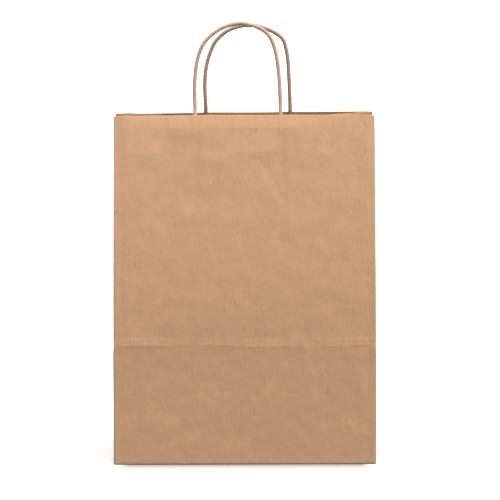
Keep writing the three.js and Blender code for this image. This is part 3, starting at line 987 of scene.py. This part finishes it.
def cord(side, material, seed):
    """A handle: a cord of twisted strands, squeezed flat where the patches hold it."""
    word = SIDE_NAMES[side]
    points, at = through(cord_route(side))
    tangent = unit(np.gradient(points, axis=0))
    across = unit(np.cross(tangent, np.array([0.0, 1.0, 0.0])))
    deep = np.cross(across, tangent)
    around = np.linspace(0, 2 * math.pi, CORD_SIDES, endpoint=False)
    wander = 0.5 * rolling(at, 0 * at, seed, 30.0)
    twist = 2 * math.pi * at / TWIST_PITCH + wander
    phase = (around - twist[:, None]) * STRANDS / 2
    groove_and_shade = 1 - np.abs(np.cos(phase)) ** 0.8
    thick = 1 + 0.04 * rolling(at, 0 * at, seed + 3, 8.0)
    radius = CORD_RADIUS * thick[:, None] * (CREST - GROOVE * groove_and_shade**1.4)
    squeezed = 1 - ramp(points[:, 2:], HEIGHT - 13, HEIGHT - 2)
    flat = 1 - (1 - PRESSED_RADIUS / CORD_RADIUS) * squeezed
    wide = 1 + 0.2 * squeezed
    grid = (
        points[:, None]
        + across[:, None] * (np.cos(around) * radius * wide)[..., None]
        + deep[:, None] * (np.sin(around) * radius * flat)[..., None]
    )
    rings = len(grid)
    number = np.arange(rings * CORD_SIDES).reshape(rings, CORD_SIDES)
    following = np.roll(number, -1, axis=1)
    faces = np.stack([number[:-1], following[:-1], following[1:], number[1:]], -1)
    faces = faces.reshape(-1, 4).tolist() + [number[0, ::-1].tolist(), number[-1].tolist()]
    strand = np.floor(phase / math.pi)
    place = flat_place(grid.shape, around * CORD_RADIUS + 13 * strand,
                       at[:, None] - around * 1.5, seed)
    # The groove profile also darkens the colour in the grooves: painted shade
    attributes = {"paper": place.reshape(-1, 3), "groove_and_shade": groove_and_shade.ravel()}
    piece = make_object(f"{word}_handle_cord_twisted", grid.reshape(-1, 3), faces,
                        [0] * len(faces), [material], attributes)
    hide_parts(f"{word}_handle_cord", f"{word}_handle_cord_left_end",
                f"{word}_handle_cord_right_end")
    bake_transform(piece)


cord(FRONT, front_cord_paper, 51.0)
cord(BACK, back_cord_shaded_paper, 57.0)


# ---- seam lap and block bottom
def seam_lap():
    """The sheet's glued margin: it turns the back left corner and lies inside the back wall."""
    s = wall_rows()
    s = s[s < HEIGHT - 1.0]
    flat_x = np.linspace(LAP_EDGE, reach(s[-1]) - HALF_WIDTH, 14)[:-1]
    flat_y = np.broadcast_to(half_depth(s)[:, None], (len(s), len(flat_x)))
    flat = np.stack([np.broadcast_to(flat_x, flat_y.shape), flat_y], axis=-1)
    t = np.linspace(0, 1, ARC_STEPS + 2)
    plan = np.concatenate([flat, corner_arc(BACK, LEFT, s[:, None], t)], axis=1)
    under_wall = (PAPER + 0.1) * np.concatenate([np.ones(len(flat_x)), 1 - t**2])
    grid = raised(plan_inset(plan, base_rounding(s)[:, None] + under_wall), s)
    on_flat = ramp(HALF_WIDTH + grid[..., 0], FOLD, FOLD + 3.5)
    relief = wall_relief(BACK, grid[..., 0], grid[..., 2]) * on_flat
    grid = grid + normals_of(grid) * relief[..., None]
    grid[..., 2] -= edge_drop(BACK, grid[..., 0], grid[..., 2])
    place = wall_place(grid, 61.0)
    wear_and_highlight = np.concatenate([np.zeros(len(flat_x)), 0.4 * np.sin(np.pi * t)])
    piece = paper_sheet("seam_lap_sheet", grid, place, [outside, inside], wear_and_highlight)
    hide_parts("seam_lap_lower", "seam_lap_upper")
    bend_at_crease(piece)


seam_lap()


FLAP_LONG = HALF_WIDTH - 3.0  # the flaps start this far out, in the rounded bottom edge
FLAP_EDGE = BASE_HALF_DEPTH - 3.0
FLAP_SHORT = corners("bottom_end_flap_right")[0][0]


def flap(node, ends, height, material, drop=0.0):
    """A flat layer of the block bottom: ends gives its two ends in X at each depth Y, and height
    is where it lies. It comes down by drop at the bag's ends."""
    low, high = corners(node)
    rows = np.linspace(high[1], low[1], 44)
    columns = np.linspace(0, 1, 64)
    spans = [sorted(ends(y)) for y in rows]
    x = np.stack([left + (right - left) * columns for left, right in spans])
    y = np.broadcast_to(rows[:, None], x.shape)
    level = height - drop * ramp(np.abs(x), HALF_WIDTH - 20, HALF_WIDTH - 4)
    inside_edge = ramp(HALF_WIDTH - np.abs(x), 2, 20) * ramp(BASE_HALF_DEPTH - np.abs(y), 2, 15)
    wave = 0.12 * (1 + rolling(x, y, 70.0, 34.0)) * inside_edge
    grid = np.stack([x, y, level + wave], axis=-1)
    place = np.stack([x, y, 70 + level], axis=-1)
    piece = paper_sheet(f"{node}_sheet", grid, place, [material, inside])
    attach(piece, "base")
    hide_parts(node)


def slanted_end(y):
    """X of the 45 degree folds at the ends of the bottom flaps, y in from the flap's long edge."""
    return min(FLAP_LONG, FLAP_LONG - (FLAP_EDGE - y))


for side, height in ((FRONT, 0.05), (BACK, 0.42)):
    flap(f"bottom_flap_{SIDE_NAMES[side]}",
         lambda y: (-slanted_end(side * y), slanted_end(side * y)),
         height, outside)
for end in (LEFT, RIGHT):
    for side, height in ((FRONT, 0.80), (BACK, 1.17)):
        flap(f"bottom_corner_fold_{SIDE_NAMES[side]}_{END_NAMES[end]}",
             lambda y: (end * FLAP_SHORT, end * max(FLAP_SHORT + 0.2, slanted_end(side * y))),
             height, inside)
    flap(f"bottom_end_flap_{END_NAMES[end]}",
         lambda y: (end * FLAP_SHORT, end * (FLAP_LONG - 0.3)),
         1.56, inside, drop=0.9)


# ---- stage
CONTACT_REACH = 53.0  # how far the soft contact shadow reaches in front of the base
CONTACT_SIDE = 3.0  # how many times shorter it is beside the base
CONTACT_CORNER = 14.0  # how far in from the base's corners it starts to fade
CONTACT_COLOUR = (0.36, 0.30, 0.26, 1.0)
FLOOR_COLOUR = (0.93, 0.93, 0.93, 1.0)
FLOOR_GLOW = (0.45, 0.45, 0.45, 1.0)
NO_GLOW = (0.0, 0.0, 0.0, 1.0)


def floor_material():
    """White floor, with a soft contact shadow round the bag's base."""
    n = Nodes(bpy.data.materials.new("floor_white"))
    n.shader.inputs["Roughness"].default_value = 1.0
    n.shader.inputs["Specular IOR Level"].default_value = 0.0
    spot = n.add("ShaderNodeTexCoord", "Object", {})
    base = ((HALF_WIDTH - CONTACT_CORNER) * MM, BASE_HALF_DEPTH * MM, 0.0)
    outward = n.vector("SUBTRACT", n.vector("ABSOLUTE", spot), base)
    outward = n.vector("MAXIMUM", outward, (0.0, 0.0, 0.0))
    outward = n.vector("MULTIPLY", outward, (CONTACT_SIDE, 1.0, 1.0))
    clear = n.level(n.vector("LENGTH", outward, output="Value"), 0.0, CONTACT_REACH * MM)
    n.link(n.mix(clear, CONTACT_COLOUR, FLOOR_COLOUR), n.shader.inputs["Base Color"])
    n.link(n.mix(clear, NO_GLOW, FLOOR_GLOW), n.shader.inputs["Emission Color"])
    n.shader.inputs["Emission Strength"].default_value = 1.0
    return n.owner


def floor():
    size = 60.0
    mesh = bpy.data.meshes.new("floor")
    mesh.from_pydata([(-size, -size, 0), (size, -size, 0), (size, size, 0), (-size, size, 0)], [],
                     [(0, 1, 2, 3)])
    mesh.materials.append(floor_material())
    obj = new_object("floor", mesh)
    obj.visible_diffuse = False


# Strength of the studio light at each height of direction, from straight down to straight up
STUDIO_LEVELS = ((-1.0, 0.15), (-0.03, 0.15), (0.0, 1.05), (0.12, 1.05), (0.3, 0.78), (1.0, 0.78))


def world(levels):
    """White studio light, with its strength at each height of direction (-1 to 1)."""
    n = Nodes(bpy.data.worlds.new("studio"), "Background")
    bpy.context.scene.world = n.owner
    where = n.add("ShaderNodeTexCoord", "Generated", {})
    upward = n.add("ShaderNodeSeparateXYZ", "Z", {"Vector": where})
    light = n.add("ShaderNodeValToRGB", "Color", {"Fac": n.level(upward, -1.0, 1.0)})
    stops = light.node.color_ramp.elements
    while len(stops) < len(levels):
        stops.new(0.5)
    for stop, (height, strength) in zip(stops, levels):
        stop.position = (height + 1) / 2
        stop.color = (strength, strength, strength, 1.0)
    n.link(light, n.shader.inputs["Color"])
    n.shader.inputs["Strength"].default_value = 1.0


def sun(name, elevation, azimuth, softness, strength):
    """Soft directional light: azimuth is measured from the front towards the bag's right."""
    data = bpy.data.lights.new(name, "SUN")
    data.angle = math.radians(softness)
    data.energy = strength
    obj = new_object(name, data)
    up, turn = math.radians(elevation), math.radians(azimuth)
    toward = Vector((math.cos(up) * math.sin(turn), -math.cos(up) * math.cos(turn), math.sin(up)))
    obj.location = toward
    obj.rotation_mode = "QUATERNION"
    obj.rotation_quaternion = toward.to_track_quat("Z", "Y")


floor()
world(STUDIO_LEVELS)
sun("key", elevation=62, azimuth=52, softness=30, strength=1.12 * math.pi)

# ---- camera
CAMERA_DISTANCE = 2.3  # to the front of the bag
CAMERA_HEIGHT = 0.45
FRAME_WIDTH = 0.4524  # how much the picture shows across, at the front of the bag
AIM = Vector((0.0050, -BASE_HALF_DEPTH * MM, 0.1972))
ROLL = math.radians(-0.17)
camera_data = bpy.data.cameras.new("camera")
camera = new_object("camera", camera_data)
camera.location = (AIM.x, AIM.y - CAMERA_DISTANCE, CAMERA_HEIGHT)
camera.rotation_mode = "QUATERNION"
level_view = (AIM - camera.location).to_track_quat("-Z", "Y")
camera.rotation_quaternion = level_view @ Quaternion((0, 0, 1), ROLL)
camera_data.sensor_width = 36.0
camera_data.lens = camera_data.sensor_width * (AIM - camera.location).length / FRAME_WIDTH
camera_data.clip_start = 0.05
camera_data.clip_end = 200.0
bpy.context.scene.camera = camera
bpy.context.scene.view_settings.view_transform = "Standard"
bpy.context.scene.view_settings.look = "None"
